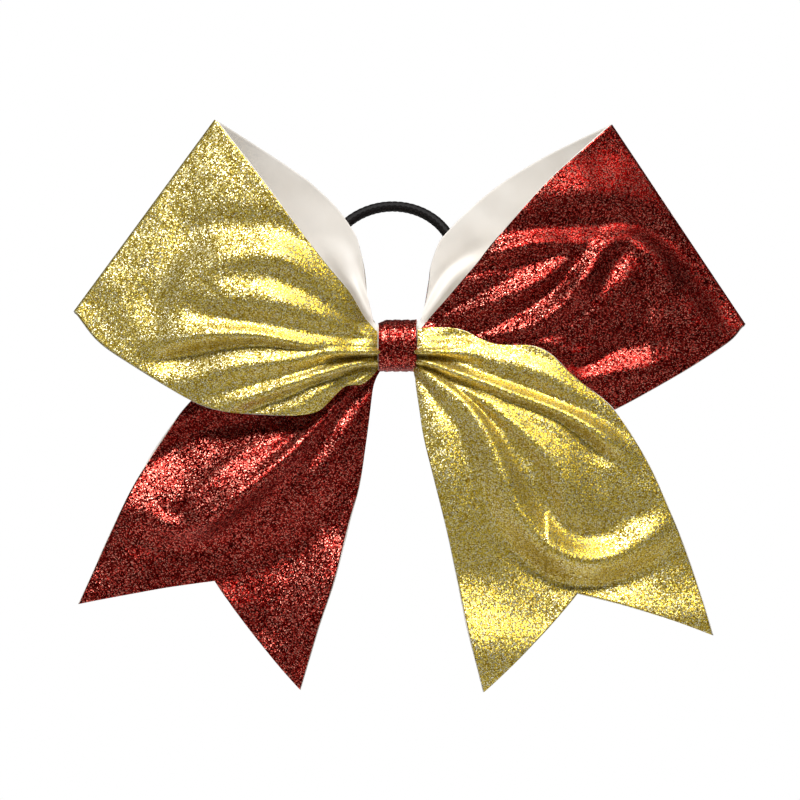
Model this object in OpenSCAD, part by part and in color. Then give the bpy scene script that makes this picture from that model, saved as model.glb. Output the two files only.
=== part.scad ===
// Cheer hair bow: one long two-tone ribbon folded into two loops and two tails,
// pinched at the middle and wrapped with a short band that also holds a hair elastic.
// Frame: +X to the viewer's right, +Y to the back, towards the hair, +Z up.
// Origin: the middle of the stretch of elastic that the knot holds.

/* [Ribbon] */
// Width of the flat ribbon; the outlines of the loops and tails scale with it
ribbon_w = 76; // [74:0.5:78]
// Thickness of the glitter facing
facing_t = 0.4; // [0.3:0.05:0.5]
// Thickness of the white lining
lining_t = 0.45; // [0.3:0.05:0.6]
// Gap that the bonding film takes up between facing and lining
film_gap = 0.02; // [0.01:0.01:0.05]

/* [Loops and tails] */
// Bend radius at the outer folds of the loops
fold_r = 1.4; // [1.2:0.1:1.8]
// How far the front layer of the gold loop swells forwards
gold_loop_swell = 16; // [14:1:18]
// How far the front layer of the red loop swells forwards
red_loop_swell = 13; // [12:1:14]
// How far the back layers of the loops swell backwards
back_swell = 10; // [8:1:10]
// How far the gold tail swells forwards
gold_tail_swell = 11.5; // [11:0.5:13]
// How far the red tail swells forwards
red_tail_swell = 4; // [3:0.5:5]
// Depth of the notch in the ends of the tails, as a share of their length
notch_share = 0.18; // [0.1:0.01:0.25]

/* [Knot] */
// Width of the wrap band
band_w = 12.5; // [11.5:0.5:13]
// Height of the pleated gathers
gather_h = 14.6; // [14:0.1:15]
// Thickness of each of the three pleated passes
pass_t = 3.6; // [3.4:0.1:3.8]
// How far the gathers stand out of each side of the band
gather_out = 1; // [0.5:0.1:1.2]

/* [Elastic] */
// Diameter of the covered elastic cord
cord_d = 3.5; // [3:0.1:3.6]
// Thickness of the braided cover
cover_t = 0.4; // [0.3:0.05:0.5]
// Length of each straight leg of the elastic loop
leg = 21.2; // [18.8:1.2:22.4]
// How far the elastic leans back at rest, in degrees
lean = 27; // [25:1:30]
// How far the elastic leans to the viewer's left, in degrees
tilt = 4; // [2:0.5:5]

/* [Hidden] */

gold = [0.76, 0.68, 0.35];
red = [0.62, 0.10, 0.10];
white = [0.93, 0.91, 0.88];
black = [0.05, 0.04, 0.04];

drawn_w = 76;                    // ribbon width at which the outlines below were drawn
k = ribbon_w / drawn_w;

// Middle of each pass in depth: back of the loops, red, gold at the front
back_y = -4.1;
red_y = back_y - pass_t;
gold_y = red_y - pass_t;
pack_back = back_y + pass_t / 2;
pack_front = gold_y - pass_t / 2;

// Edges of the loops and tails from the knot outwards, [x, z] at the drawn width
gold_loop_top = [[-10, 8], [-16, 17], [-25, 29], [-42, 51], [-58.5, 72.5]];
gold_loop_low = [[-10, -11], [-17, -13], [-24, -19.5], [-34, -22.5], [-48, -22],
                 [-66, -17.5], [-86, -6], [-104, 10.5]];
gold_back_top = [[-9.5, 11], [-11, 25], [-15, 38], [-27, 51.5], [-44, 63], [-58.5, 72.5]];
gold_back_low = [[-10, -8], [-28, -14.5], [-46, -17], [-65, -14], [-85, -4], [-104, 10.5]];
red_loop_top = [[10, 8], [17, 16.5], [26, 27.5], [48, 52.5], [68.5, 71]];
red_loop_low = [[10, -9], [24, -19], [40, -25], [58, -25.5], [72, -19], [95, -6], [111.5, 6.5]];
red_back_top = [[9.5, 11.5], [10.5, 25], [16, 37], [32, 51], [48, 61], [68.5, 71]];
red_back_low = [[10, -8], [24, -13], [39, -17], [55, -18], [74, -13], [93, -4], [111.5, 6.5]];
gold_tail_out = [[10, 5], [18, 5.5], [27, 2.3], [36, 0.2], [46, -1], [55, -8], [69, -20],
                 [80, -37], [92, -66], [101, -92.5]];
gold_tail_in = [[8.5, -9], [7.5, -20], [9, -32], [13, -49], [19, -75], [27.5, -111]];
red_tail_out = [[-10, 4], [-20, 5], [-34, 2], [-52, -5], [-66, -18], [-75, -29], [-92, -60],
                [-102, -82.5]];
red_tail_in = [[-8.5, -9], [-8.5, -16], [-10, -29], [-13, -48], [-20, -75], [-31, -110]];

rows = 12;                       // steps along each layer of ribbon
tail_rows = 14;
columns = 12;                    // steps across it, even so that one falls on the notch
loop_len = 92;                   // distance from the knot to the fold, about
fold_steps = 4;
pleats = 3;                      // ridges that fan out of the knot
pleat_depth = 0.35;
pleat_run = 0.15;                // share of the length over which the pleats die out

// Where along its length each layer swells most: 1 is halfway, less is nearer the knot
gold_loop_peak = 0.85;
red_loop_peak = 1;
back_peak = 1;
gold_tail_peak = 0.75;
red_tail_peak = 1;
// Share of the swell that is left at the lower edge of a layer, and lost at both edges of a tail
gold_loop_low_share = 0.7;
red_loop_low_share = 0.15;
back_low_share = 0.75;
tail_edge_loss = 0.15;
// Depth at which the tails end
gold_tail_end_y = -20;
red_tail_end_y = -7;

function mix(a, b, t) = a + (b - a) * t;
function unit(v) = v / norm(v);

// A smooth curve through points p, at the share t of its length
function reach(p, i) = i == 0 ? 0 : reach(p, i - 1) + norm(p[i] - p[i - 1]);
function span_at(p, s, i = 0) = i >= len(p) - 2 || s <= reach(p, i + 1) ? i : span_at(p, s, i + 1);
function spline(a, b, c, d, f) =
    0.5 * (2 * b + (c - a) * f + (2 * a - 5 * b + 4 * c - d) * f * f
           + (3 * b - a - 3 * c + d) * f * f * f);
function along(p, t) =
    let (s = t * reach(p, len(p) - 1),
         i = span_at(p, s),
         f = (s - reach(p, i)) / norm(p[i + 1] - p[i]),
         before = i > 0 ? p[i - 1] : 2 * p[0] - p[1],
         after = i < len(p) - 2 ? p[i + 2] : 2 * p[i + 1] - p[i])
    k * spline(before, p[i], p[i + 1], after, f);

// Pleats that fan out of the knot and die away; v runs from -1 to 1 across the ribbon
function pleat(t, v) = pleat_depth * exp(-t / pleat_run) * cos(180 * pleats * v);
// Swell of a layer along its length, fullest where peak puts it
function swell(t, peak) = sin(180 * pow(t, peak));

// A point of a layer between two edges; lift is how far its swell carries it in depth
function layer_point(low, top, t, v, y, lift) =
    let (p = mix(along(low, t), along(top, t), (1 + v) / 2)) [p.x, y + lift, p.y];

function across(j) = -1 + 2 * j / columns;

// The two layers of a loop and the bend between them, as one grid of points
function loop_grid(low, top, back_low, back_top, y, swell_front, peak, low_share, side) =
    let (last = 1 - (fold_r + facing_t) / loop_len,
         front = [for (i = [0:rows]) let (t = last * i / rows) [for (j = [0:columns])
             let (v = across(j), share = mix(low_share, 1, (1 + v) / 2))
             layer_point(low, top, t, v, mix(y, red_y - fold_r, t) + pleat(t, v),
                         -swell_front * share * swell(t, peak))]],
         back = [for (i = [rows:-1:0]) let (t = last * i / rows) [for (j = [0:columns])
             let (v = across(j), share = mix(back_low_share, 1, (1 + v) / 2))
             layer_point(back_low, back_top, t, v, mix(back_y, red_y + fold_r, t) - pleat(t, v),
                         back_swell * share * swell(t, back_peak))]],
         edge = front[rows][columns] - front[rows][0],
         out = side * unit([edge.z, 0, -edge.x]),
         bend = [for (s = [1:fold_steps - 1]) let (a = 180 * s / fold_steps) [for (j = [0:columns])
             mix(front[rows][j], back[0][j], (1 - cos(a)) / 2) + fold_r * sin(a) * out]])
    concat(front, bend, back);

// A tail with its notched end, as a grid of points
function tail_grid(low, top, y, end_y, swell_front, peak) =
    [for (i = [0:tail_rows]) [for (j = [0:columns])
        let (v = across(j), t = i / tail_rows * (1 - notch_share * (1 - abs(v))))
        layer_point(low, top, t, v, mix(y, end_y, t) + pleat(t, v),
                    -swell_front * (1 - tail_edge_loss * v * v) * swell(t, peak))]];

function normal_at(g, i, j) =
    let (along_u = g[min(i + 1, len(g) - 1)][j] - g[max(i - 1, 0)][j],
         along_v = g[i][min(j + 1, columns)] - g[i][max(j - 1, 0)])
    unit(cross(along_u, along_v));

// Closed solid between two distances, near < far, from a grid of points along its normals
module sheet(g, near, far) {
    across_n = columns + 1;
    count = len(g) * across_n;
    last_row = len(g) - 1;
    shifted = function (d)
        [for (i = [0:last_row]) for (j = [0:columns]) g[i][j] + d * normal_at(g, i, j)];
    at = function (i, j) i * across_n + j;
    skin = [for (i = [0:last_row - 1]) for (j = [0:columns - 1])
        for (tri = [[at(i, j), at(i, j + 1), at(i + 1, j + 1)],
                    [at(i, j), at(i + 1, j + 1), at(i + 1, j)]]) tri];
    rim = concat([for (i = [0:last_row - 1]) [at(i + 1, 0), at(i, 0)]],
                 [for (j = [0:columns - 1]) [at(0, j), at(0, j + 1)]],
                 [for (i = [0:last_row - 1]) [at(i, columns), at(i + 1, columns)]],
                 [for (j = [0:columns - 1]) [at(last_row, j + 1), at(last_row, j)]]);
    under = [for (tri = skin) [tri[0], tri[2], tri[1]] + [count, count, count]];
    walls = [for (e = rim) for (tri = [[e[0], e[0] + count, e[1] + count],
                                       [e[0], e[1] + count, e[1]]]) tri];
    polyhedron(points = concat(shifted(far), shifted(near)),
               faces = concat(skin, under, walls), convexity = 6);
}

// The facing lies on one side of the film and the lining on the other; side 1 is the grid's front
module facing(g, side) {
    near = film_gap / 2;
    far = near + facing_t;
    sheet(g, min(side * near, side * far), max(side * near, side * far));
}
module lining(g, side) {
    near = film_gap / 2;
    far = near + lining_t;
    sheet(g, min(-side * near, -side * far), max(-side * near, -side * far));
}

gold_loop_grid = loop_grid(gold_loop_low, gold_loop_top, gold_back_low, gold_back_top,
                           gold_y, gold_loop_swell, gold_loop_peak, gold_loop_low_share, -1);
red_loop_grid = loop_grid(red_loop_low, red_loop_top, red_back_low, red_back_top,
                          red_y, red_loop_swell, red_loop_peak, red_loop_low_share, 1);
gold_tail_grid = tail_grid(gold_tail_in, gold_tail_out, gold_y, gold_tail_end_y,
                           gold_tail_swell, gold_tail_peak);
red_tail_grid = tail_grid(red_tail_in, red_tail_out, red_y, red_tail_end_y,
                          red_tail_swell, red_tail_peak);

module gold_loop_facing() { color(gold) facing(gold_loop_grid, -1); }
module gold_loop_lining() { color(white) lining(gold_loop_grid, -1); }
module red_loop_facing() { color(red) facing(red_loop_grid, 1); }
module red_loop_lining() { color(white) lining(red_loop_grid, 1); }
module gold_tail_facing() { color(gold) facing(gold_tail_grid, 1); }
module gold_tail_lining() { color(white) lining(gold_tail_grid, 1); }
module red_tail_facing() { color(red) facing(red_tail_grid, -1); }
module red_tail_lining() { color(white) lining(red_tail_grid, -1); }

// Knot: three pleated passes, tied with a cable tie that lies in a groove round them.
// A wrap of ribbon goes round everything, and its rounded inside shapes what it holds.
gather_w = band_w + 2 * gather_out;
tie_w = 2.5;
tie_t = 1;
fit_gap = 0.05;
crease_depth = 1.1;
crease_w = 1.2;
crease_z = [-5.3, -2.2];         // the two deep creases between the three front ridges
back_crease_z = [-3.5, 0, 3.5];
wrap_gap = 0.1;
wrap_corner = 1.6;
wrap_front = pack_front - wrap_gap;
wrap_back = 2.4;
wrap_half = gather_h / 2 + wrap_gap;
lap_low = -5;
lap_top = 5;
wrap_t = lining_t + film_gap + facing_t;

// A box given by its lowest and highest corners
module box(lo, hi) {
    translate(lo) cube(hi - lo);
}

// Round-cornered section of the wrap, grown outwards by d, drawn in the YZ plane
module wrap_section(d) {
    r = wrap_corner + d;
    y = [wrap_front - d + r, wrap_back + d - r];
    z = wrap_half + d - r;
    for (c = y)
        for (s = [-1, 1])
            translate([c, s * z]) circle(r = r, $fn = 32);
    translate([y[0], -z - r]) square([y[1] - y[0], 2 * (z + r)]);
    translate([y[0] - r, -z]) square([y[1] - y[0] + 2 * r, 2 * z]);
}
module inside_wrap(width) {
    rotate([90, 0, 90]) linear_extrude(width, center = true) wrap_section(-wrap_gap);
}

module tie_groove() {
    half = tie_w / 2 + fit_gap;
    depth = tie_t + fit_gap;
    edge = gather_h / 2 - depth;
    difference() {
        box([-half, pack_front - 1, -gather_h], [half, pack_back + 1, gather_h]);
        box([-gather_w, pack_front + depth, -edge], [gather_w, pack_back - depth, edge]);
    }
}

// One pleated pass: front is the side, -1 or 1, that shows the creases
module gather(y, side, creases) {
    half = pass_t / 2 - film_gap / 2;
    difference() {
        intersection() {
            box([-gather_w / 2, y - half, -gather_h / 2], [gather_w / 2, y + half, gather_h / 2]);
            inside_wrap(2 * gather_w);
        }
        for (z = creases)
            translate([0, y + side * half, z])
                rotate([0, 90, 0])
                    linear_extrude(gather_w + 1, center = true)
                        polygon([[-crease_w / 2, side], [0, -side * crease_depth],
                                 [crease_w / 2, side]]);
        tie_groove();
    }
}
module gold_gather() { color(gold) gather(gold_y, -1, crease_z); }
module red_gather() { color(red) gather(red_y, -1, []); }
module back_gather() { color(gold) gather(back_y, 1, back_crease_z); }

head_w = 4.6;
head_low = -6.8;
head_top = -2.6;
head_back = 1.8;
module cable_tie() {
    outer = gather_h / 2;
    inner = outer - tie_t;
    color(white) difference() {
        union() {
            intersection() {
                box([-tie_w / 2, pack_front, -outer], [tie_w / 2, pack_back, outer]);
                inside_wrap(2 * tie_w);
            }
            box([-head_w / 2, pack_back, head_low], [head_w / 2, head_back, head_top]);
        }
        box([-tie_w, pack_front + tie_t, -inner], [tie_w, pack_back - tie_t, inner]);
    }
}

module wrap_ring(near, far) {
    rotate([90, 0, 90]) linear_extrude(band_w, center = true)
        difference() {
            wrap_section(far);
            wrap_section(near);
        }
}
module wrap_lining() {
    lap = wrap_back + wrap_t + film_gap;
    color(white) {
        wrap_ring(0, lining_t);
        box([-band_w / 2, lap, lap_low], [band_w / 2, lap + lining_t, lap_top]);
    }
}
module wrap_facing() {
    lap = wrap_back + wrap_t + film_gap + lining_t + film_gap;
    color(red) {
        wrap_ring(lining_t + film_gap, wrap_t);
        box([-band_w / 2, lap, lap_low], [band_w / 2, lap + facing_t, lap_top]);
    }
}

// Hot glue behind the gathers, with the channel that the elastic turns in
glue_half_w = 5;
glue_low = -2.4;
glue_top = 5.8;
turn_gap = 0.05;
module hot_glue() {
    color([0.95, 0.93, 0.82]) difference() {
        box([-glue_half_w, pack_back + film_gap, glue_low],
            [glue_half_w, wrap_back - film_gap, glue_top]);
        rotate([0, -tilt, 0]) rotate([0, 90, 0])
            cylinder(r = cord_d / 2 + turn_gap, h = 4 * glue_half_w, center = true, $fn = 48);
    }
}

// Elastic: a straight stretch in the knot, two bends, two legs and a round top
held_half = 7;
bend_r = 7.5;
join_w = 0.8;
leg_run = 0.28;                  // each leg climbs 24 for every 7 it spreads
leg_rise = 0.96;
bend_angle = acos(leg_run);
leg_start = [held_half + bend_r * leg_rise, bend_r * (1 - leg_run)];
loop_r = bend_r + (held_half + leg * leg_run) / leg_rise;
top_z = leg_start.y + leg * leg_rise + loop_r * leg_run;

// Sectors of a ring, as directions from its centre, that the bends and the top keep
far_out = 100;
bend_sector = far_out * [[0, 0], [0, -1], [1, -1], [leg_rise, -leg_run]];
top_sector = far_out * [[0, 0], [leg_rise, -leg_run], [leg_rise, 1], [-leg_rise, 1],
                        [-leg_rise, -leg_run]];

module cord_section(r_out, r_in) {
    difference() {
        circle(r = r_out, $fn = 32);
        if (r_in > 0) circle(r = r_in, $fn = 32);
    }
}
module cord_straight(from, angle, length, r_out, r_in) {
    translate([from.x, 0, from.y]) rotate([0, 90 - angle, 0])
        linear_extrude(length) cord_section(r_out, r_in);
}
module cord_arc(centre, radius, sector, r_out, r_in) {
    translate([centre.x, 0, centre.y]) rotate([90, 0, 0]) intersection() {
        rotate_extrude($fn = 72) translate([radius, 0]) cord_section(r_out, r_in);
        linear_extrude(3 * r_out, center = true) polygon(sector);
    }
}
module elastic_path(r_out, r_in) {
    rotate([-lean, -tilt, 0]) {
        for (side = [0, 1]) mirror([side, 0, 0]) {
            cord_straight([join_w / 2, 0], 0, held_half - join_w / 2, r_out, r_in);
            cord_arc([held_half, bend_r], bend_r, bend_sector, r_out, r_in);
            cord_straight(leg_start, bend_angle, leg, r_out, r_in);
        }
        cord_arc([0, top_z], loop_r, top_sector, r_out, r_in);
    }
}
module elastic_cover() { color(black) elastic_path(cord_d / 2, cord_d / 2 - cover_t); }
module elastic_core() { color([0.2, 0.18, 0.16]) elastic_path(cord_d / 2 - cover_t - film_gap, 0); }
module elastic_join() {
    color([0.3, 0.28, 0.25]) rotate([0, -tilt, 0]) rotate([0, 90, 0])
        cylinder(r = cord_d / 2, h = join_w, center = true, $fn = 32);
}

gold_gather();
red_gather();
back_gather();
cable_tie();
hot_glue();
wrap_lining();
wrap_facing();
gold_loop_facing();
gold_loop_lining();
red_loop_facing();
red_loop_lining();
gold_tail_facing();
gold_tail_lining();
red_tail_facing();
red_tail_lining();
elastic_cover();
elastic_core();
elastic_join();
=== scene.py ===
"""Cheer hair bow: a two-tone glitter ribbon in two loops and two tails, its knot and hair elastic.

Lengths are in millimetres in the lists and functions here, and become metres in mesh_object().
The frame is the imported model's: +X to the viewer's right, +Y to the back, +Z up.
"""
import math

import bpy
import numpy as np
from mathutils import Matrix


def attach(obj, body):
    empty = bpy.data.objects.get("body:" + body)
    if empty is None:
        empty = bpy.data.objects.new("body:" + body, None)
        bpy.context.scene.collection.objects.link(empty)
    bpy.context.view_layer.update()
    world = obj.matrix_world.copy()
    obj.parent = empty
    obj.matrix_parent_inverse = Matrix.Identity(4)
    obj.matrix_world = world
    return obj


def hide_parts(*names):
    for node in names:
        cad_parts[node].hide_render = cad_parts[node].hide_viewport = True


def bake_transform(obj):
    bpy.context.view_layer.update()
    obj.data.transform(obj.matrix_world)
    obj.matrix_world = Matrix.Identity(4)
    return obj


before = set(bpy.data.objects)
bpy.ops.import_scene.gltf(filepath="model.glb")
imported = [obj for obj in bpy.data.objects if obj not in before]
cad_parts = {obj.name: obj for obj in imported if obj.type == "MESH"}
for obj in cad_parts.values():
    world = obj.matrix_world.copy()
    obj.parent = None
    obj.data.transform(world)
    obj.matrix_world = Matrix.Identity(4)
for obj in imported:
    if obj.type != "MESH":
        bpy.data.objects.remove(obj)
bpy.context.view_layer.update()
scene = bpy.context.scene

MM = 0.001
RIBBON_W = 76.0
FACING_T = 0.40
LINING_T = 0.45
FILM = 0.01

# Depth of the three passes through the knot: back of the loops, red, gold at the front
BACK_Y, RED_Y, GOLD_Y = -4.1, -7.7, -11.3
FOLD_R = 1.0

# How far the ribbons bulge forward halfway up the band that holds them
KNOT_BULGE = 3.9

# Half the height of the knot, how far out its hold on the ribbons is full, and how it fades
KNOT_HALF, KNOT_REACH, KNOT_FADE = 7.5, 7, 6

# The facing is cut back from the edges of the lining by this share of its half width
EDGE_INSET = 0.007

# How far the bend at a loop's end reaches past the end of its front layer
FOLD_OVERHANG = FOLD_R + FACING_T

# How far the back layer of a loop stands off towards the hair at its fullest, and how late
# it starts to: above 1 it stays flat for longer beside the knot, where the elastic swings past
BACK_SWELL = 10
BACK_SHAPE = 1.2

# Where the camera stands: level, in front, this far from the plane of the loops' folds
CAMERA = np.array([0.8, -861.0, -17.4])
SHEET_PLANE_Y = -8.0


# ---------------------------------------------------------------- camera, light and floor

def add_camera():
    data = bpy.data.cameras.new("camera")
    data.lens = 120
    data.sensor_width = 36
    data.clip_end = 20
    cam = bpy.data.objects.new("camera", data)
    cam.location = CAMERA * MM
    cam.rotation_euler = (math.radians(90), 0, 0)
    scene.collection.objects.link(cam)
    scene.camera = cam


def add_softbox(name, place, aim, size, power, spread):
    data = bpy.data.lights.new(name, "AREA")
    data.shape = "RECTANGLE"
    data.size, data.size_y = size
    data.energy = power
    data.spread = math.radians(spread)
    light = bpy.data.objects.new(name, data)
    light.location = place
    direction = np.array(aim) - np.array(place)
    yaw = math.atan2(direction[0], -direction[1])
    drop = math.atan2(-direction[2], math.hypot(direction[0], direction[1]))
    light.rotation_euler = (math.radians(90) - drop, 0, yaw + math.pi)
    scene.collection.objects.link(light)


def add_world():
    world = bpy.data.worlds.new("studio")
    world.use_nodes = True
    tree = world.node_tree
    tree.nodes.clear()
    out = tree.nodes.new("ShaderNodeOutputWorld")
    mix = tree.nodes.new("ShaderNodeMixShader")
    seen = tree.nodes.new("ShaderNodeBackground")
    around = tree.nodes.new("ShaderNodeBackground")
    path = tree.nodes.new("ShaderNodeLightPath")
    seen.inputs["Color"].default_value = (1, 1, 1, 1)
    around.inputs["Color"].default_value = (1.0, 0.99, 0.97, 1)
    around.inputs["Strength"].default_value = 0.06
    tree.links.new(path.outputs["Is Camera Ray"], mix.inputs["Fac"])
    tree.links.new(around.outputs["Background"], mix.inputs[1])
    tree.links.new(seen.outputs["Background"], mix.inputs[2])
    tree.links.new(mix.outputs["Shader"], out.inputs["Surface"])
    scene.world = world
    scene.view_settings.view_transform = "Standard"


def add_floor():
    bpy.ops.mesh.primitive_plane_add(size=1.6, location=(0, 0, -0.30))
    floor = bpy.context.object
    floor.name = "floor"
    mat = bpy.data.materials.new("floor_paper")
    mat.use_nodes = True
    bsdf = mat.node_tree.nodes["Principled BSDF"]
    bsdf.inputs["Base Color"].default_value = (0.86, 0.86, 0.85, 1)
    bsdf.inputs["Roughness"].default_value = 0.9
    bsdf.inputs["Emission Color"].default_value = (1, 1, 0.99, 1)
    bsdf.inputs["Emission Strength"].default_value = 0.16
    floor.data.materials.append(mat)


add_camera()
add_world()
add_floor()
add_softbox("key", (0.0, -0.82, 1.05), (0, 0, 0), (1.2, 0.5), 2.9, 40)
add_softbox("fill", (-1.2, -0.9, 0.1), (0, 0, 0), (0.5, 0.8), 0.05, 30)
add_softbox("back", (0.35, 1.3, 0.15), (0, 0, 0), (0.8, 0.8), 0.5, 26)


# ---------------------------------------------------------------- curves and sheets

def spline(points, shares):
    """A smooth curve through points, at shares of its length in its first two columns."""
    p = np.array(points, float)
    ends = [2 * p[0] - p[1], 2 * p[-1] - p[-2]]
    q = np.vstack([ends[0], p, ends[1]])
    f = np.linspace(0, 1, 24, endpoint=False)[:, None]
    parts = []
    for a, b, c, d in zip(q[:-3], q[1:-2], q[2:-1], q[3:]):
        parts.append(0.5 * (2 * b + (c - a) * f + (2 * a - 5 * b + 4 * c - d) * f ** 2
                            + (3 * b - a - 3 * c + d) * f ** 3))
    dense = np.vstack(parts + [p[-1:]])
    steps = np.linalg.norm(np.diff(dense[:, :2], axis=0), axis=1)
    run = np.concatenate([[0], np.cumsum(steps)])
    return np.stack([np.interp(shares, run / run[-1], col) for col in dense.T], axis=-1)


def bands(x, z, folds):
    """Height of the folds at x, z.

    Each fold is a line of (x, z, slope, width) points. Where the slope is above zero the ribbon
    comes forward going down across the line, and below zero it goes back.
    """
    total = np.zeros_like(x)
    for fold in folds:
        line = spline(fold, np.linspace(0, 1, 56))
        hand = 1 if line[-1, 0] > line[0, 0] else -1
        best = np.full(x.shape, 1e9)
        height = np.zeros_like(x)
        for a, b in zip(line[:-1], line[1:]):
            seg = b[:2] - a[:2]
            size = max(math.hypot(*seg), 1e-6)
            s = np.clip(((x - a[0]) * seg[0] + (z - a[1]) * seg[1]) / size ** 2, 0, 1)
            d = (x - a[0] - s * seg[0]) ** 2 + (z - a[1] - s * seg[1]) ** 2
            above = hand * (seg[0] * (z - a[1]) - seg[1] * (x - a[0])) / size
            slope = a[2] + s * (b[2] - a[2])
            slope = np.where(slope > 0, 1.15, 1.3) * slope
            width = a[3] + s * (b[3] - a[3])
            near = d < best
            best = np.where(near, d, best)
            height = np.where(near, -slope * above * np.exp(-d / (2 * width ** 2)), height)
        total += height
    return total


def buckles(x, z):
    """Slight uneven waves of the whole ribbon."""
    rng = np.random.default_rng(7)
    total = np.zeros_like(x)
    for _ in range(9):
        turn, length, start = rng.uniform(0, math.pi), rng.uniform(7, 26), rng.uniform(0, 6.28)
        along = (x * math.cos(turn) + z * math.sin(turn)) * 2 * math.pi / length
        total += 0.0042 * length * np.sin(along + start)
    return total * np.clip((np.hypot(x, z) - 12) / 20, 0, 1)


def swell(t, shape):
    return np.sin(np.pi * t ** shape)


def true_place(x, y, z):
    """Where a point at depth y lies when the camera sees it at x, z of the loops' plane."""
    reach = (y - CAMERA[1]) / (SHEET_PLANE_Y - CAMERA[1])
    return np.stack([CAMERA[0] + (x - CAMERA[0]) * reach, y,
                     CAMERA[2] + (z - CAMERA[2]) * reach], axis=-1)


def knot_bulge(z):
    """How far forward the band lets the ribbons come at a height in the knot."""
    return KNOT_BULGE * (1 - np.minimum(np.abs(z) / KNOT_HALF, 1) ** 2)


def layer(low, top, t, v, y, folds):
    """Grid of points between two edges. t runs outwards, v from -1 at low to 1 at top."""
    a = spline(low, t)
    b = spline(top, t)
    w = (1 + v) / 2
    x = a[..., 0] * (1 - w) + b[..., 0] * w
    z = a[..., 1] * (1 - w) + b[..., 1] * w
    hold = np.exp(-(np.maximum(np.hypot(x, z) - KNOT_REACH, 0) / KNOT_FADE) ** 2)
    return true_place(x, y - hold * knot_bulge(z) - bands(x, z, folds) - buckles(x, z), z)


def normals(g):
    du = np.gradient(g, axis=0)
    dv = np.gradient(g, axis=1)
    n = np.cross(du, dv)
    return n / np.maximum(np.linalg.norm(n, axis=-1, keepdims=True), 1e-9)


def mesh_object(name, verts, faces, material, smooth=True):
    mesh = bpy.data.meshes.new(name)
    mesh.from_pydata((np.asarray(verts) * MM).tolist(), [], faces)
    mesh.update()
    if smooth:
        mesh.polygons.foreach_set("use_smooth", [True] * len(mesh.polygons))
    obj = bpy.data.objects.new(name, mesh)
    scene.collection.objects.link(obj)
    mesh.materials.append(material)
    return obj


def sheet_faces(rows, cols):
    """Quads of a closed sheet: the far side, the near side under it, and the rim."""
    def at(i, j, side=0):
        return side * rows * cols + i * cols + j
    faces = []
    for i in range(rows - 1):
        for j in range(cols - 1):
            faces.append((at(i, j), at(i + 1, j), at(i + 1, j + 1), at(i, j + 1)))
            faces.append((at(i, j, 1), at(i, j + 1, 1), at(i + 1, j + 1, 1), at(i + 1, j, 1)))
    rim = ([(i, 0) for i in range(rows - 1)] + [(rows - 1, j) for j in range(cols - 1)]
           + [(i, cols - 1) for i in range(rows - 1, 0, -1)] + [(0, j) for j in range(cols - 1, 0, -1)])
    for (a, b) in zip(rim, rim[1:] + rim[:1]):
        faces.append((at(*b), at(*a), at(*a, 1), at(*b, 1)))
    return faces


def add_weave(obj, along, across):
    """Stores each point's place on the flat ribbon, in metres, as the map that the weave follows."""
    uv = obj.data.uv_layers.new(name="ribbon")
    index = np.zeros(len(obj.data.loops), int)
    obj.data.loops.foreach_get("vertex_index", index)
    flat = np.stack([along, across], axis=-1).reshape(-1, 2)
    flat = np.vstack([flat, flat]) * MM
    uv.data.foreach_set("uv", flat[index].ravel())


def ribbon_piece(name, g, near, far, material):
    """A layer of the ribbon between two distances along the grid's normals."""
    n = normals(g)
    rows, cols = g.shape[:2]
    verts = np.concatenate([(g + far * n).reshape(-1, 3), (g + near * n).reshape(-1, 3)])
    obj = mesh_object(name, verts, sheet_faces(rows, cols), material)
    steps = np.linalg.norm(np.diff(g[:, cols // 2], axis=0), axis=1)
    along = np.concatenate([[0], np.cumsum(steps)])
    along, across = np.meshgrid(along, np.linspace(0, RIBBON_W, cols), indexing="ij")
    add_weave(obj, along, across)
    return obj


def loop_grid(spec, inset):
    """Front layer, bend and back layer of a loop, as one grid."""
    v = np.linspace(-1, 1, 141) * (1 - inset)
    tf, vf = np.meshgrid(np.linspace(0, 1, 190), v, indexing="ij")
    share = spec["low_share"] + (1 - spec["low_share"]) * (1 + vf) / 2 + 0.25 * (1 - vf ** 2)
    y = spec["y"] + (RED_Y - FOLD_R - spec["y"]) * tf - spec["swell"] * share * swell(tf, spec["shape"])
    front = layer(spec["low"], spec["top"], tf, vf, y, spec["folds"])
    tb, vb = np.meshgrid(np.linspace(1, 0, 90), v, indexing="ij")
    share = 0.75 + 0.25 * (1 + vb) / 2
    y = BACK_Y + (RED_Y + FOLD_R - BACK_Y) * tb + BACK_SWELL * share * swell(tb, BACK_SHAPE)
    back = layer(spec["back_low"], spec["back_top"], tb, vb, y, spec["back_folds"])
    edge = front[-1, -1] - front[-1, 0]
    out = np.array([edge[2], 0, -edge[0]]) * spec["side"] / math.hypot(edge[0], edge[2])
    front -= FOLD_OVERHANG * out * tf[..., None] ** 5
    back -= FOLD_OVERHANG * out * tb[..., None] ** 5
    bend = []
    for a in np.radians([30, 60, 90, 120, 150]):
        bend.append(front[-1] + (back[0] - front[-1]) * (1 - math.cos(a)) / 2
                    + FOLD_R * math.sin(a) * out)
    return np.concatenate([front, np.array(bend), back])


def tail_grid(spec, inset):
    v = np.linspace(-1, 1, 141) * (1 - inset)
    u = np.linspace(0, 1, 220)
    uu, vv = np.meshgrid(u, v, indexing="ij")
    off = vv - spec["notch_at"]
    notch = spec["notch"] * (1 - np.abs(off) / (1 + np.sign(off) * -spec["notch_at"]))
    t = uu * (1 - notch)
    stand = spec["swell"] * (1 - 0.15 * vv ** 2) * swell(t, spec["shape"])
    y = spec["y"] + (spec["end_y"] - spec["y"]) * t - stand
    return layer(spec["low"], spec["top"], t, vv, y, spec["folds"])


# ---------------------------------------------------------------- materials

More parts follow.
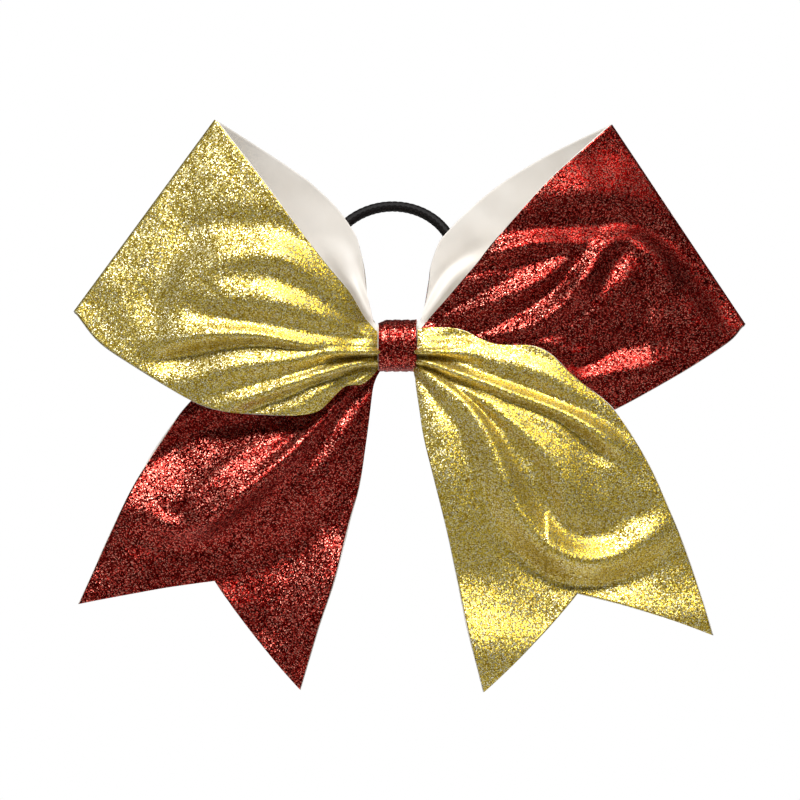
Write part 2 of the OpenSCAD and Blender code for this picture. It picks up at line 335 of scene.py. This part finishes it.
def material(name):
    mat = bpy.data.materials.new(name)
    mat.use_nodes = True
    tree = mat.node_tree
    return mat, tree, tree.nodes["Principled BSDF"]


def node(tree, kind, **settings):
    n = tree.nodes.new(kind)
    for key, value in settings.items():
        if hasattr(n, key):
            setattr(n, key, value)
        else:
            n.inputs[key].default_value = value
    return n


def ramp(tree, stops):
    r = tree.nodes.new("ShaderNodeValToRGB")
    while len(r.color_ramp.elements) < len(stops):
        r.color_ramp.elements.new(0.5)
    for element, (place, colour) in zip(r.color_ramp.elements, stops):
        element.position = place
        element.color = (*colour, 1)
    return r


def glitter(name, stops, gap, spread, metal, coat):
    """Flakes of glitter film: each cell has its own tilt, colour and roughness."""
    mat, tree, bsdf = material(name)
    link = tree.links.new
    coords = node(tree, "ShaderNodeTexCoord")
    cells = node(tree, "ShaderNodeTexVoronoi", Scale=1 / FLAKE)
    link(coords.outputs["Object"], cells.inputs["Vector"])
    colours = ramp(tree, stops)
    split = node(tree, "ShaderNodeSeparateColor")
    link(cells.outputs["Color"], split.inputs["Color"])
    link(split.outputs["Red"], colours.inputs["Fac"])
    gaps = ramp(tree, [(0.4, (1, 1, 1)), (0.75, gap)])
    link(cells.outputs["Distance"], gaps.inputs["Fac"])
    shade = node(tree, "ShaderNodeMix", data_type="RGBA", blend_type="MULTIPLY")
    shade.inputs["Factor"].default_value = 1
    link(colours.outputs["Color"], shade.inputs["A"])
    link(gaps.outputs["Color"], shade.inputs["B"])
    link(shade.outputs["Result"], bsdf.inputs["Base Color"])
    centre = node(tree, "ShaderNodeVectorMath", operation="SUBTRACT")
    centre.inputs[1].default_value = (0.5, 0.5, 0.5)
    link(cells.outputs["Color"], centre.inputs[0])
    tilt = node(tree, "ShaderNodeVectorMath", operation="SCALE")
    tilt.inputs["Scale"].default_value = spread
    link(centre.outputs["Vector"], tilt.inputs[0])
    surface = node(tree, "ShaderNodeNewGeometry")
    add = node(tree, "ShaderNodeVectorMath", operation="ADD")
    link(surface.outputs["Normal"], add.inputs[0])
    link(tilt.outputs["Vector"], add.inputs[1])
    unit = node(tree, "ShaderNodeVectorMath", operation="NORMALIZE")
    link(add.outputs["Vector"], unit.inputs[0])
    link(unit.outputs["Vector"], bsdf.inputs["Normal"])
    rough = node(tree, "ShaderNodeMapRange")
    rough.inputs["To Min"].default_value = 0.36
    rough.inputs["To Max"].default_value = 0.52
    link(split.outputs["Green"], rough.inputs["Value"])
    link(rough.outputs["Result"], bsdf.inputs["Roughness"])
    bsdf.inputs["Metallic"].default_value = metal
    bsdf.inputs["Coat Weight"].default_value = coat
    bsdf.inputs["Coat Roughness"].default_value = 0.4
    return mat


def white_satin():
    mat, tree, bsdf = material("white_satin")
    link = tree.links.new
    place = node(tree, "ShaderNodeUVMap", uv_map="ribbon")
    ribs = node(tree, "ShaderNodeTexWave", bands_direction="X", Scale=1 / (0.0005 * 2 * math.pi) / 10)
    ribs.inputs["Distortion"].default_value = 0.6
    ribs.inputs["Detail"].default_value = 2
    link(place.outputs["UV"], ribs.inputs["Vector"])
    bump = node(tree, "ShaderNodeBump")
    bump.inputs["Strength"].default_value = 0.25
    bump.inputs["Distance"].default_value = 0.0001
    link(ribs.outputs["Fac"], bump.inputs["Height"])
    link(bump.outputs["Normal"], bsdf.inputs["Normal"])
    cloud = node(tree, "ShaderNodeTexNoise", Scale=60.0, Detail=3.0)
    coords = node(tree, "ShaderNodeTexCoord")
    link(coords.outputs["Object"], cloud.inputs["Vector"])
    tint = ramp(tree, [(0.3, (0.78, 0.73, 0.66)), (0.7, (0.86, 0.82, 0.76))])
    link(cloud.outputs["Fac"], tint.inputs["Fac"])
    link(tint.outputs["Color"], bsdf.inputs["Base Color"])
    bsdf.inputs["Roughness"].default_value = 0.5
    return mat


def noisy(name, dark, light, scale, rough, relief, specular=0.5):
    """A plain stuff whose colour and surface vary at one grain size."""
    mat, tree, bsdf = material(name)
    link = tree.links.new
    coords = node(tree, "ShaderNodeTexCoord")
    noise = node(tree, "ShaderNodeTexNoise", Scale=scale, Detail=3.0)
    link(coords.outputs["Object"], noise.inputs["Vector"])
    tint = ramp(tree, [(0.3, dark), (0.75, light)])
    link(noise.outputs["Fac"], tint.inputs["Fac"])
    link(tint.outputs["Color"], bsdf.inputs["Base Color"])
    bump = node(tree, "ShaderNodeBump")
    bump.inputs["Strength"].default_value = 0.4
    bump.inputs["Distance"].default_value = relief
    link(noise.outputs["Fac"], bump.inputs["Height"])
    link(bump.outputs["Normal"], bsdf.inputs["Normal"])
    bsdf.inputs["Roughness"].default_value = rough
    bsdf.inputs["Specular IOR Level"].default_value = specular
    return mat


FLAKE = 0.00034
GOLD = glitter("gold_glitter", [(0.0, (0.62, 0.43, 0.03)), (0.3, (0.86, 0.66, 0.07)),
                                (0.65, (0.97, 0.83, 0.24)), (0.85, (1.0, 0.95, 0.60)),
                                (1.0, (1.0, 0.98, 0.80))],
               (0.40, 0.29, 0.08), 0.46, 0.86, 0.14)
RED = glitter("red_glitter", [(0.0, (0.05, 0.0005, 0.0005)), (0.45, (0.28, 0.004, 0.003)),
                              (0.75, (1.0, 0.11, 0.08)), (1.0, (1.0, 0.42, 0.32))],
              (0.08, 0.02, 0.02), 0.42, 1.0, 0.02)
WHITE = white_satin()
BLACK = noisy("black_braid", (0.002, 0.0015, 0.0015), (0.012, 0.009, 0.009), 2600.0, 0.6, 0.00004, 0.2)
RUBBER = noisy("rubber_core", (0.02, 0.018, 0.016), (0.05, 0.045, 0.04), 900.0, 0.6, 0.00003)
NYLON = noisy("nylon_tie", (0.70, 0.69, 0.66), (0.82, 0.81, 0.78), 500.0, 0.35, 0.00002)
HOT_GLUE = noisy("hot_glue", (0.62, 0.55, 0.40), (0.80, 0.74, 0.60), 350.0, 0.25, 0.00006)
JOIN_GLUE = noisy("join_glue", (0.30, 0.24, 0.15), (0.45, 0.38, 0.25), 500.0, 0.3, 0.00004)


# ---------------------------------------------------------------- loops and tails

GOLD_LOOP = {
    "y": GOLD_Y, "swell": 11, "shape": 0.85, "low_share": 0.72, "side": -1,
    "top": [(-4, 3.2), (-6.3, 4), (-10.8, 9.2), (-15.7, 17.5), (-24.7, 28.6), (-43.5, 53.6), (-58.4, 72.5)],
    "low": [(-4, -6.4), (-6.3, -7.6), (-9.5, -10.9), (-12, -12.4), (-16.4, -12.9), (-19.2, -14.8),
            (-22.7, -18.6), (-26.1, -21.2), (-33, -22.4), (-45.6, -22), (-56, -21), (-66.4, -17.4),
            (-85.6, -5.9), (-96.5, 1.8), (-103.8, 10.7)],
    "back_top": [(-4, 4), (-6.2, 5.6), (-8.2, 9.4), (-9.8, 17.1), (-10.7, 24.8), (-12.3, 32.5),
                 (-13.9, 36.3), (-19.4, 44), (-27.4, 51.7), (-32.5, 55.5), (-44, 63.2), (-58.4, 72.5)],
    "back_low": [(-4, -6), (-12, -9), (-20, -11), (-30, -15), (-46, -17), (-64, -14.5), (-84, -4.5),
    (-103.8, 10.7)],
    "folds": [
        [(-7, 3.2, 0, 1), (-12, 5.5, 0.3, 1.2), (-20, 9.5, 0.4, 2), (-30, 14.5, 0.45, 3),
         (-40, 18.5, 0.4, 4),
         (-50, 20, 0.3, 5), (-60, 20, 0.15, 6), (-68, 18, 0, 6)],
        [(-22, 22, 0.1, 3), (-33, 30, 0.45, 4.5), (-42, 33, 0.55, 5.5), (-53, 33, 0.55, 5.5),
         (-62, 31, 0.5, 6),
         (-69, 26, 0.45, 5), (-73, 17, 0.3, 5), (-75, 8, 0.15, 5), (-76, 0, 0, 5)],
        [(-8, 2.4, 0, 0.8), (-14, 4, -0.1, 1.2), (-25, 7.3, -0.1, 2), (-40, 10.5, -0.1, 3),
         (-55, 12.5, -0.1, 4),
         (-66, 12, 0, 5)],
        [(-5, 0.8, 0.3, 0.9), (-10, 1, 0.45, 1.1), (-20, 1.5, 0.5, 1.5), (-30, 2.7, 0.5, 2),
         (-40, 4.5, 0.5, 2.2),
         (-50, 5.5, 0.5, 2.5), (-60, 7, 0.4, 3), (-70, 9, 0.15, 4), (-76, 10, 0, 4)],
        [(-24, -0.8, 0, 0.5), (-28, -0.6, -0.8, 0.8), (-34, 0.2, -1, 1), (-42, 1.6, -1.1, 1.4),
         (-50, 2, -1, 2),
         (-60, 1, -1, 2.6), (-70, -1, -0.9, 3), (-78, -2, -0.4, 3), (-84, -2, 0, 3)],
        [(-4, -2.7, -2.8, 0.7), (-10, -2.8, -3.0, 0.8), (-15, -3, -2.3, 1), (-20, -3.3, -1.7, 1.2),
         (-24, -4, -1, 1.4), (-30, -5.5, -0.5, 1.6), (-40, -7.5, -0.25, 2), (-50, -9, -0.15, 3),
         (-60, -12, 0, 4)],
        [(-24, -2, 0, 0.8), (-30, -2.8, 0.35, 1.2), (-40, -3.7, 0.45, 2), (-50, -4.5, 0.45, 2.5),
         (-60, -6.5, 0.4, 3),
         (-72, -8.5, 0.3, 4), (-80, -6, 0.1, 4), (-86, -4, 0, 4)],
        [(-5, -3.8, 0.6, 0.5), (-10, -4.2, 0.8, 0.6), (-18, -5.8, 0.7, 0.9), (-26, -8.3, 0.6, 1.2),
         (-34, -11, 0.55, 1.5),
         (-42, -14, 0.5, 2), (-50, -16.3, 0.45, 2.2), (-58, -18, 0.2, 3), (-64, -18, 0, 3)],
        [(-4, -5.4, -1.8, 0.5), (-9, -6.1, -2.3, 0.6), (-14, -7.2, -2, 0.9), (-20, -9, -1.5, 1.1),
         (-28, -11.5, -1.1, 1.3),
         (-36, -14.4, -1, 1.7), (-44, -17.2, -0.9, 2.1), (-50, -19.2, -0.6, 2.2), (-56, -20.7, 0, 2.2)],
        [(-6, -7, 0.5, 0.5), (-10, -9.5, 0.6, 0.7), (-14, -11.6, 0.5, 0.9), (-18, -12.5, 0.3, 1),
         (-24, -13.5, 0.35, 1.2),
         (-30, -17.5, 0.45, 1.6), (-36, -20, 0.3, 2), (-42, -22, 0, 2)],
    ],
    "back_folds": [
        [(-6, 6, 0, 0.8), (-8.5, 11, 0.6, 1), (-11, 17, 0.6, 1.2), (-13, 23, 0.4, 1.5),
         (-16, 30, 0.2, 2), (-20, 36, 0, 2.5)],
        [(-7.5, 6, -0.4, 0.8), (-11, 11, -0.8, 1), (-14, 16.5, -0.9, 1.3), (-17, 21, -0.6, 1.5),
         (-21, 27, -0.2, 2),
         (-26, 34, 0, 2)],
    ],
}
RED_LOOP = {
    "y": RED_Y, "swell": 9, "shape": 1.0, "low_share": 0.2, "side": 1,
    "top": [(4, 4), (7.4, 5.1), (10.3, 8.8), (16.6, 16.1), (25.8, 27.1), (36.1, 39.6), (47.8, 52.5),
            (56.6, 60.6), (68.5, 71)],
    "low": [(4, -6), (13, -12), (24, -19), (40, -25), (58, -25.5), (70, -20.3), (82.4, -13.6), (95.5, -5.9),
            (107, 1.8), (111.5, 6.6)],
    "back_top": [(4, 4.5), (6.6, 6.2), (8.8, 13.3), (10.1, 21), (10.6, 25.5), (13, 32.5), (15.8, 36.3),
                 (23.5, 44), (33.1, 51.7), (45.3, 59.4), (60, 67), (68.5, 71)],
    "back_low": [(4, -5), (13, -9), (24, -13), (38, -17), (55, -18), (74, -13), (93, -4), (111.5, 6.6)],
    "folds": [
        [(27, 29.5, 0.2, 2), (31, 32, 0.5, 2.8), (38, 34, 0.55, 3), (54, 35, 0.55, 3), (70, 36, 0.55, 3),
         (77, 35, 0.55, 3.4), (84, 31.5, 0.5, 4), (90, 25.5, 0.5, 5), (95, 18, 0.5, 5.5),
         (101, 10, 0.5, 5.5), (106, 5, 0.3, 5)],
        [(42, 44, 0, 3), (55, 45, -0.2, 4), (68, 44, -0.3, 4.5), (80, 42, -0.3, 4.5), (90, 36, -0.2, 4),
         (98, 26, 0, 4)],
        [(50, 54, 0, 5), (60, 57, 0.2, 6), (72, 56, 0.2, 6), (80, 50, 0, 6)],
        [(24, 25, -0.3, 1.8), (30, 27, -0.6, 2.4), (38, 28.5, -0.6, 2.6), (46, 31, -0.6, 2.2),
         (52, 31, -0.4, 1.8),
         (56, 30, 0, 1.5)],
        [(17, 10, 0.4, 1.4), (24, 13, 0.5, 2), (32, 17, 0.55, 2.6), (42, 21.5, 0.5, 3), (50, 26, 0.4, 3),
         (56, 30, 0.2, 2.5), (60, 34, 0, 3)],
        [(20, 8.5, -0.2, 1.2), (28, 11, -0.3, 1.5), (38, 14.5, -0.35, 2), (46, 18.5, -0.3, 2),
         (53, 23, -0.2, 2),
         (57, 27, 0, 2)],
        [(26, 3, 0.4, 1.2), (32, 5, 0.5, 1.9), (40, 8, 0.6, 2.6), (48, 13, 0.6, 2.9), (54, 19, 0.6, 3.1),
         (59, 25, 0.55, 3.2),
         (64, 31, 0.4, 2.6), (70, 36, 0, 3)],
        [(30, 1.5, -0.5, 1), (38, 3, -0.7, 1.6), (46, 5, -0.7, 2), (54, 10, -0.7, 2.6), (60, 16, -0.65, 3),
         (65, 24, -0.6, 3.2), (70, 31, -0.5, 3), (75, 33, -0.5, 3), (81, 28, -0.4, 3), (85, 22, -0.3, 3),
         (88, 15, 0, 3)],
        [(52, 4, -0.2, 4), (62, 6, -0.35, 6), (72, 12, -0.35, 8), (80, 18, -0.3, 7), (88, 14, 0, 6)],
        [(42, 1, -0.4, 1.5), (50, -1.5, -0.5, 1.8), (56, -4, -0.6, 1.8), (62, -4, -0.6, 2),
         (68, 0, -0.4, 2.5),
         (74, 3, 0, 3)],
        [(54, -8, 0.3, 2), (60, -9, 0.45, 3), (68, -6, 0.45, 4), (78, -4, 0.4, 4), (86, -2, 0.2, 4),
         (94, 0, 0, 4)],
    ],
    "back_folds": [
        [(7, 7, 0, 0.8), (10, 13, 0.5, 1.2), (13, 18.5, 0.6, 1.4), (17, 23.5, 0.5, 1.6),
         (24, 28, 0.3, 2), (32, 32, 0, 2)],
        [(9, 8, -0.5, 1), (13, 13, -0.7, 1.2), (17, 18, -0.6, 1.4), (21, 22, -0.3, 1.6), (26, 26, 0, 2)],
    ],
}
GOLD_TAIL = {
    "y": GOLD_Y, "end_y": -21.5, "swell": 9.5, "shape": 0.75, "notch": 0.18, "notch_at": 0.0,
    "low": [(4, -6.4), (5.4, -7.8), (6.2, -14), (7.2, -21.3), (8.5, -30), (12, -44.3), (15.8, -59.7),
    (19, -75),
            (22.2, -90.4), (27.4, -110.9)],
    "top": [(4, 4.6), (6.6, 5.1), (10.9, 5.7), (17.1, 5.7), (21.7, 4.7), (26.4, 2.3), (31, 0.6),
    (35.7, 0.2),
            (41.9, 0.2), (45.8, -0.8), (49.7, -3.1), (54.3, -7.7), (59.7, -12.4), (69.4, -20.5),
            (79.8, -36.6),
            (86.9, -52), (92.5, -66), (98.1, -82.7), (101.1, -92.7)],
    "folds": [
        [(5, 0.6, 0.4, 0.9), (12, 1, 0.5, 1.2), (20, 1.6, 0.5, 1.6), (26, 1, 0.4, 1.6),
         (31, -0.5, 0.2, 1.4),
         (36, -2, 0.1, 2), (42, -5, 0.3, 2.4), (50, -8, 0.35, 2.6), (58, -13, 0.3, 3), (64, -18, 0, 3)],
        [(4, -2.7, -2.8, 0.7), (10, -2.8, -3.0, 0.8), (16, -3.2, -2, 1.1), (22, -3.9, -1.1, 1.5),
         (28, -5.5, -0.5, 2),
         (38, -9, -0.25, 2.5), (48, -12, -0.2, 3), (58, -16.5, -0.1, 3), (64, -20, 0, 3)],
        [(5, -3.9, 0.6, 0.5), (12, -5.2, 0.8, 0.7), (20, -7.6, 0.8, 1), (30, -11.2, 0.7, 1.3),
         (40, -14.8, 0.65, 1.6),
         (50, -18.8, 0.6, 2), (58, -22.5, 0.6, 2.2), (66, -27.5, 0.5, 2.5), (73, -33, 0.3, 3),
         (78, -40, 0, 3)],
        [(4, -5.4, -1.8, 0.5), (9, -6.2, -2.4, 0.6), (14, -8, -2.3, 0.9), (20, -10.6, -1.7, 1.3),
         (28, -13.4, -1.1, 1.4),
         (36, -16.6, -1.1, 1.4), (44, -19.3, -1.2, 1.4), (52, -22.6, -1.2, 1.6), (60, -27.5, -1.2, 2.3),
         (66, -32, -1, 2.6),
         (72, -35, -0.4, 2.6), (77, -38, 0, 3)],
        [(34, -20, 0.2, 1.5), (42, -26, 0.35, 2.5), (50, -32, 0.4, 3), (58, -40, 0.35, 4),
         (64, -52, 0.25, 5), (66, -60, 0, 5)],
        [(14, -10.5, -0.3, 0.8), (22, -15.5, -0.45, 1.1), (30, -21.5, -0.45, 1.5), (38, -28, -0.45, 1.8),
         (45, -36, -0.45, 2), (50, -44, -0.4, 2.2), (52, -52, -0.3, 2.2), (52.5, -60, 0, 2.4)],
        [(5, -5.8, 0.8, 0.5), (9, -8, 0.9, 0.6), (14, -11.2, 0.9, 0.8), (20, -15.3, 0.85, 1),
         (26, -21.5, 0.8, 1.4),
         (31, -29, 0.7, 2), (36, -38, 0.6, 3.2), (42, -50, 0.6, 4), (48, -59, 0.6, 4.5), (56, -64, 0.6, 5),
         (66, -64.5, 0.55, 5), (76, -60, 0.45, 5), (84, -54, 0.2, 4), (88, -50, 0, 4)],
        [(5, -8, -0.8, 0.6), (9, -11.5, -0.8, 1.2), (14, -16.5, -0.6, 2), (20, -23, -0.55, 2.8),
         (24, -31, -0.5, 3.5),
         (28, -42, -0.5, 4), (34, -54, -0.6, 4), (42, -64, -0.8, 4.5), (52, -71, -0.9, 4.2),
         (62, -73, -0.8, 4),
         (74, -70, -0.6, 4), (84, -64, -0.3, 4), (90, -58, 0, 4)],
        [(12, -84, 0.42, 15), (30, -88, 0.42, 15), (48, -92, 0.35, 12), (64, -88, 0.25, 10),
         (80, -84, 0.3, 9), (100, -80, 0.3, 9)],
    ],
}
RED_TAIL = {
    "y": RED_Y, "end_y": -7, "swell": 4, "shape": 1.0, "notch": 0.18, "notch_at": 0.0,
    "low": [(-4, -6), (-5.5, -8), (-7.8, -13.6), (-9.8, -29), (-12, -44.3), (-15.2, -56), (-20, -75),
    (-25, -90),
            (-31, -110.2)],
    "top": [(-4, 3), (-10, 4.5), (-17, 5.5), (-34, 2), (-52, -5), (-66.4, -18), (-74.7, -29),
    (-84.3, -44.3),
            (-92, -60), (-98, -73.5), (-102.2, -82.7)],
    "folds": [
        [(-36, -26, 0, 4), (-46, -31, 0.4, 6), (-58, -37, 0.55, 8), (-70, -42, 0.6, 9), (-84, -46, 0.4, 8)],
        [(-50, -22, -0.3, 3), (-62, -24, -0.4, 3), (-72, -29, -0.4, 3), (-80, -36, -0.2, 3),
         (-86, -44, 0, 3)],
        [(-30, -25, 0, 1.5), (-36, -30, -0.3, 1.8), (-44, -34, -0.45, 2.2), (-52, -39, -0.45, 2.2),
         (-60, -46, -0.4, 2),
         (-66, -52, 0, 2)],
        [(-10, -5, 0.3, 0.8), (-18, -15.5, 0.5, 1), (-24, -22, 0.6, 1.3), (-30, -28, 0.6, 1.6),
         (-38, -36, 0.6, 1.8),
         (-46, -43, 0.6, 2), (-54, -49, 0.6, 2.2), (-62, -54, 0.6, 2.5), (-70, -57, 0.55, 2.5),
         (-76, -55, 0.3, 2.5),
         (-82, -50, 0, 3)],
        [(-12, -12, -0.7, 1.7), (-20, -22, -0.8, 2.3), (-28, -32, -0.9, 3.2), (-38, -42, -0.9, 4.2),
         (-48, -50, -0.9, 4.8),
         (-58, -57, -0.9, 4.5), (-68, -61, -0.8, 4), (-76, -60, -0.6, 4), (-84, -55, 0, 4)],
        [(-10, -24, -0.3, 6), (-22, -42, -0.5, 9), (-36, -54, -0.6, 10), (-52, -63, -0.6, 9),
         (-66, -68, -0.4, 7),
         (-80, -66, 0, 6)],
        [(-22, -60, 0, 5), (-28, -75, 0.3, 8), (-34, -92, 0.3, 9), (-38, -104, 0, 8)],
        [(-84, -60, 0, 5), (-90, -68, 0.25, 6), (-96, -76, 0.25, 6), (-100, -84, 0, 5)],
    ],
}


def add_limb(name, make, spec, side, colour, slot):
    """The facing and the lining of one loop or tail."""
    near, far = FILM, FILM + FACING_T
    lo, hi = FILM, FILM + LINING_T
    facing = ribbon_piece(name + "_glitter", make(spec, EDGE_INSET), min(side * near, side * far),
                          max(side * near, side * far), colour)
    lining = ribbon_piece(name + "_white", make(spec, 0), min(-side * lo, -side * hi),
                          max(-side * lo, -side * hi), WHITE)
    for piece, node_name, piece_slot in ((facing, name + "_facing", slot),
    (lining, name + "_lining", "white_ribbon")):
        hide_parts(node_name)
        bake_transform(piece)


add_limb("gold_loop", loop_grid, GOLD_LOOP, -1, GOLD, "gold_glitter")
add_limb("red_loop", loop_grid, RED_LOOP, 1, RED, "red_glitter")
add_limb("gold_tail", tail_grid, GOLD_TAIL, 1, GOLD, "gold_glitter")
add_limb("red_tail", tail_grid, RED_TAIL, -1, RED, "red_glitter")

# ---------------------------------------------------------------- knot

BAND_W = 12.5
BAND_MID_Y, BAND_DEEP, BAND_HIGH = -5.4, 7.85, 7.42
BAND_BULGE = 4.4
BAND_CORNER = 6
LAP_START, LAP_TURN = -35, 70


def pleated(name, y, colour, node_name):
    """The ribbon packed into narrow pleats where it passes through the knot."""
    radius, wall = 0.39, 1.1
    section = []
    for k in range(18):
        way = 1 if k % 2 == 0 else -1
        z = -6.63 + 2 * radius * k
        section += [(z, y - way * wall * s) for s in (-0.9, 0, 0.9)]
        if k < 17:
            section += [(z + radius * (1 - math.cos(a)), y - way * (wall + radius * math.sin(a)))
                        for a in np.radians([0, 36, 72, 108, 144, 180])]
    section = np.array(section)
    x = np.linspace(-5.4, 5.4, 10)
    g = np.zeros((len(section), len(x), 3))
    g[..., 0] = x
    g[..., 1] = (section[:, 1] - knot_bulge(section[:, 0]))[:, None]
    g[..., 2] = section[:, 0][:, None]
    piece = ribbon_piece(name, g, -0.22, 0.22, colour)
    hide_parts(node_name)
    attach(piece, "knot")


def band_grid(inset):
    """The strip round the knot, from its start at the back, once round and over itself."""
    turn = np.linspace(0, 360 + LAP_TURN, 220)
    a = np.radians(turn + LAP_START)
    x = np.linspace(-1, 1, 33) * (1 - inset) * BAND_W / 2
    aa, xx = np.meshgrid(a, x, indexing="ij")
    c, s = np.cos(aa), np.sin(aa)
    y = BAND_MID_Y + BAND_DEEP * np.sign(c) * np.abs(c) ** (2 / BAND_CORNER)
    z = BAND_HIGH * np.sign(s) * np.abs(s) ** (2 / BAND_CORNER)
    y -= BAND_BULGE * (1 - (z / BAND_HIGH) ** 2) * (c < 0)
    lap = np.clip((turn - 325) / 30, 0, 1)
    lift = 0.95 * lap * lap * (3 - 2 * lap)
    y += lift[:, None] * np.clip(c, 0, 1) ** 0.4
    dip = np.clip((-xx - 2.2) / 4, 0, 1)
    z -= 1.3 * dip * dip * np.clip(s, 0, 1) ** 2
    crease = 0.10 * np.cos(xx * 2.1 + 0.7) + 0.06 * np.cos(xx * 4.6 + 3 * s + 1)
    y += crease * c
    z += crease * s
    return np.stack([xx + 0.2 * np.clip(s, -1, 1) * (xx > 0), y, z], axis=-1)


pleated("gold_gather_pleats", GOLD_Y, GOLD, "gold_gather")
pleated("red_gather_pleats", RED_Y, RED, "red_gather")
pleated("back_gather_pleats", BACK_Y, GOLD, "back_gather")

for name, node_name, inset, near, far, length, colour, slot in (
        ("band_glitter", "wrap_facing", 0.035, 0.44, 0.84, 0.079, RED, "red_glitter"),
        ("band_white", "wrap_lining", 0, 0.0, 0.42, 0.076, WHITE, "white_ribbon")):
    band = ribbon_piece(name, band_grid(inset), near, far, colour)
    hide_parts(node_name)
    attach(band, "knot")

# ---------------------------------------------------------------- elastic

CORD_R = 1.75
HELD, BEND_R, LEG = 7.0, 7.5, 21.2
LEG_RUN, LEG_RISE = 0.28, 0.96
LEAN, TILT = math.radians(27), math.radians(4)


def elastic_line(held):
    """Points in the loop's own plane, from the right side of the knot round to the left side."""
    foot = (HELD + BEND_R * LEG_RISE, BEND_R * (1 - LEG_RUN))
    top_r = BEND_R + (HELD + LEG * LEG_RUN) / LEG_RISE
    head = foot[1] + LEG * LEG_RISE + top_r * LEG_RUN
    corner = math.acos(LEG_RUN)
    half = [(x, 0) for x in np.linspace(held, HELD, 6, endpoint=False)]
    half += [(HELD + BEND_R * math.sin(a), BEND_R * (1 - math.cos(a)))
             for a in np.linspace(0, corner, 36, endpoint=False)]
    half += [(foot[0] + LEG_RUN * d, foot[1] + LEG_RISE * d) for d in np.linspace(0, LEG, 80, endpoint=False)]
    low = -math.asin(LEG_RUN)
    arc = [(top_r * math.cos(a), head + top_r * math.sin(a)) for a in np.linspace(low, math.pi - low, 281)]
    return np.array(half + arc + [(-x, s) for x, s in reversed(half)])


def in_frame(flat, up):
    """Places points of the loop's plane, and at a distance out of it, in the bow's frame."""
    x, s = flat[..., 0], flat[..., 1]
    y = s * math.sin(LEAN) - up * math.cos(LEAN)
    z = s * math.cos(LEAN) + up * math.sin(LEAN)
    return np.stack([x * math.cos(TILT) - z * math.sin(TILT),
    y, x * math.sin(TILT) + z * math.cos(TILT)], axis=-1)


def braided(name, line):
    """A tube of crossing strands along a line in the loop's plane."""
    along = np.gradient(line, axis=0)
    along /= np.linalg.norm(along, axis=1, keepdims=True)
    side = np.stack([along[:, 1], -along[:, 0]], axis=-1)
    run = np.concatenate([[0], np.cumsum(np.linalg.norm(np.diff(line, axis=0), axis=1))])
    count = 48
    phi, s = np.meshgrid(np.linspace(0, 2 * math.pi, count, endpoint=False), run)
    strands, pitch = 6, 1.9
    one = np.abs(np.cos(strands * phi / 2 + math.pi * s / pitch))
    two = np.abs(np.cos(strands * phi / 2 - math.pi * s / pitch))
    r = CORD_R - 0.20 * (1 - np.maximum(one, two))
    flat = line[:, None] + side[:, None] * (r * np.cos(phi))[..., None]
    verts = in_frame(flat, r * np.sin(phi)).reshape(-1, 3)
    faces = []
    for i in range(len(line) - 1):
        for j in range(count):
            k = (j + 1) % count
            faces.append((i * count + j, i * count + k, (i + 1) * count + k, (i + 1) * count + j))
    faces.append(tuple(range(count - 1, -1, -1)))
    faces.append(tuple(range((len(line) - 1) * count, len(line) * count)))
    piece = mesh_object(name, verts, faces, BLACK)
    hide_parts("elastic_cover")
    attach(piece, "elastic")
    return piece


line = elastic_line(5.0)
elastic = braided("elastic_loop", line)
inside = braided("elastic_in_knot", np.stack([np.linspace(-4.9, 4.9, 40), np.zeros(40)], axis=-1))

# ---------------------------------------------------------------- the rest

for name, stuff in (("cable_tie", NYLON), ("hot_glue", HOT_GLUE),
                    ("elastic_core", RUBBER), ("elastic_join", JOIN_GLUE)):
    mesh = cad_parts[name].data
    mesh.materials.clear()
    mesh.materials.append(stuff)
